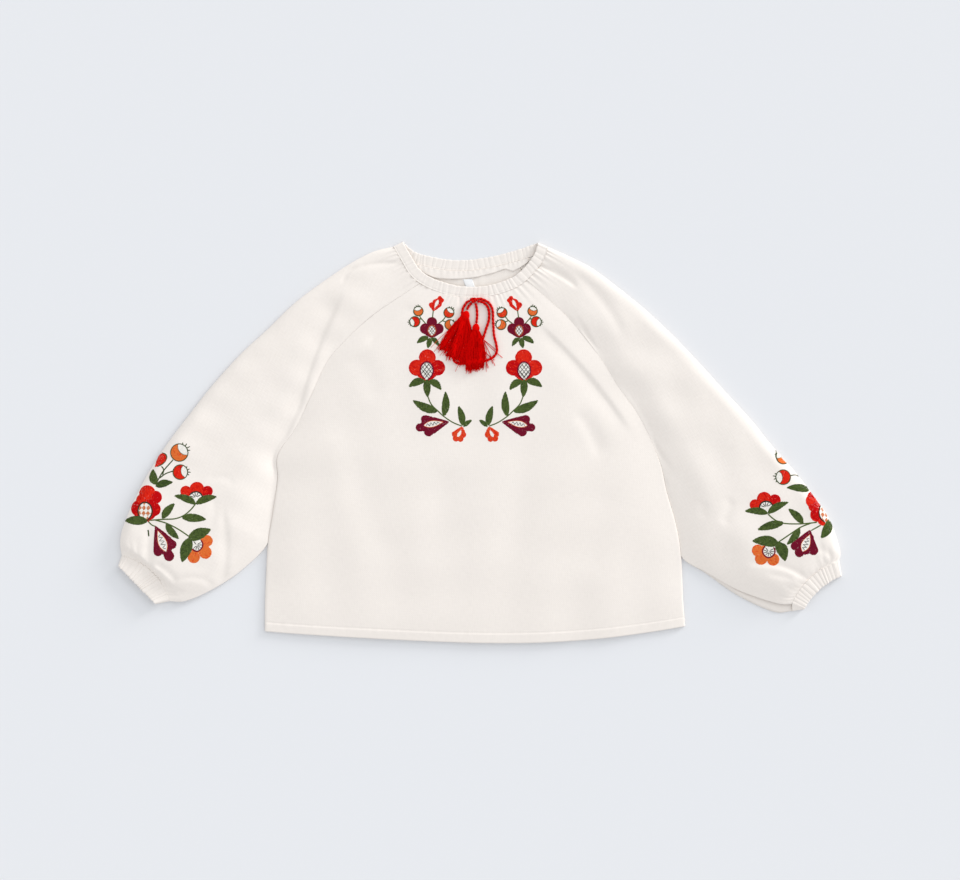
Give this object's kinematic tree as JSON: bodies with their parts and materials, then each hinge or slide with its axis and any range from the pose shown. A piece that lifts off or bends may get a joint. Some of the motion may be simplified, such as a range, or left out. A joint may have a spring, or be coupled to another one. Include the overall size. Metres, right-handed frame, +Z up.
{
  "type": "gathered blouse laid flat",
  "caption": "Child's raglan blouse laid flat, with gathered neck and wrist casings and a drawstring bow with tassels.",
  "frame": {"origin": "centre of the footprint, on the surface that the blouse lies on", "axes": "+X to the right as seen from above with the neck at the top, +Y from the hem towards the neck, +Z up from the surface"},
  "size_m": [0.723, 0.401, 0.0141],
  "materials": {
    "linen": "matt plain-woven linen, off-white",
    "white_tape": "smooth white woven tape",
    "red_cord": "twisted cotton yarn, slight sheen"
  },
  "bodies": {
    "root": {"front_panel": "linen", "back_panel": "linen", "sleeve_left": "linen", "sleeve_right": "linen", "neck_casing": "linen", "cuff_left": "linen", "cuff_right": "linen", "back_facing": "linen", "neck_label": "white_tape", "draw_knot": "red_cord", "cord_outer_loop": "red_cord", "cord_inner_loop": "red_cord", "cord_left": "red_cord", "cord_right": "red_cord", "tassel_left": "red_cord", "tassel_right": "red_cord"}
  },
  "joints": []
}
